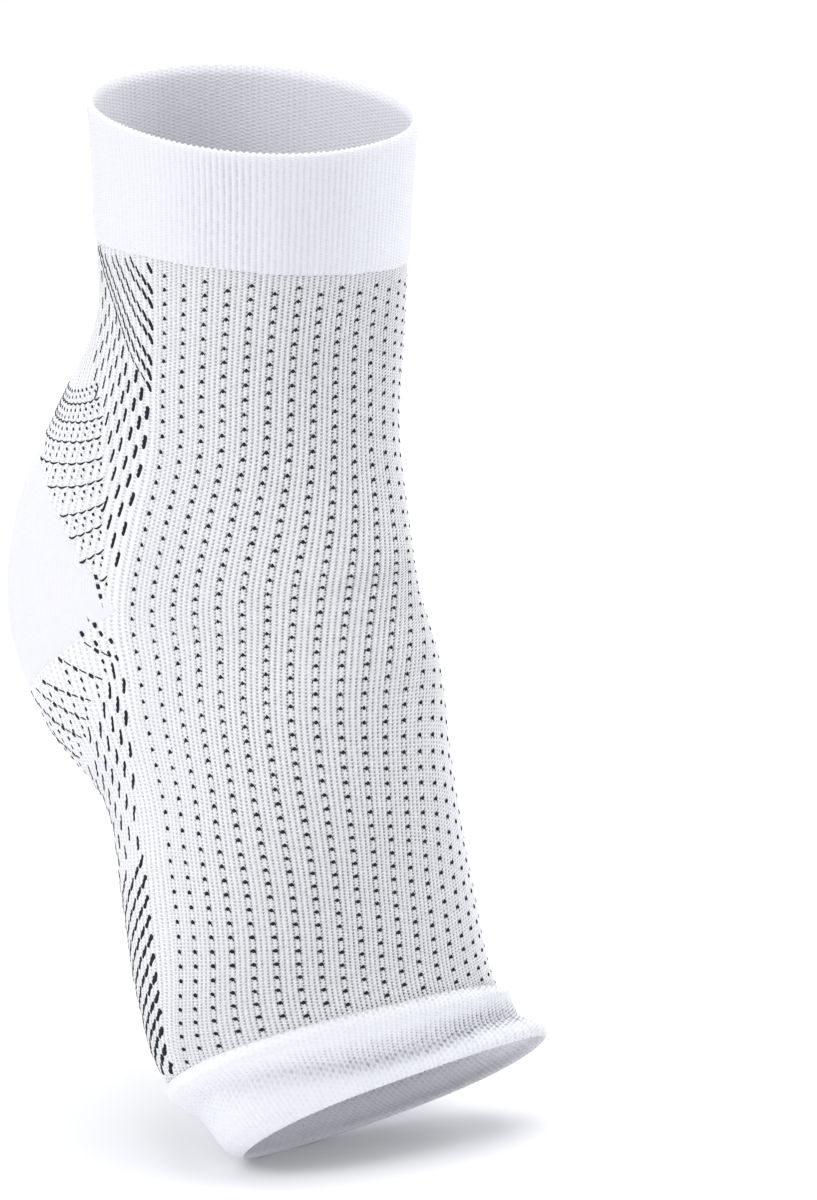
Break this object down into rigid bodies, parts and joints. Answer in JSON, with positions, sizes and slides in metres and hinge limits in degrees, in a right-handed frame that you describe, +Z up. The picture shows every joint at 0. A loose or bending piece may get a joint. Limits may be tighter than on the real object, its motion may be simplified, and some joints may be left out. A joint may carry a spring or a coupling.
{
  "type": "toe-less neuropathy sock",
  "caption": "Toe-less knitted compression sock for a foot with its heel raised: ribbed ankle cuff, patterned sleeve, plain turned heel pocket and ribbed band round the base of the toes.",
  "frame": {"origin": "centre of the wearer's ankle joint, inside the hollow", "axes": "+Z up along the leg, -Y forward to the toes, -X to the outer side of a right foot"},
  "size_m": [0.098, 0.1547, 0.2828],
  "materials": {
    "cuff_knit": "matt white elastic rib knit",
    "sleeve_knit": "matt white stitch knit with wales and dark yarn marks",
    "heel_knit": "matt white fine plain knit",
    "band_knit": "matt white elastic rib knit",
    "dark_yarn": "matt near-black yarn"
  },
  "bodies": {
    "root": {"ankle_cuff": "cuff_knit", "knit_sleeve": "sleeve_knit", "heel_pocket": "heel_knit", "toe_band": "band_knit"}
  },
  "joints": []
}
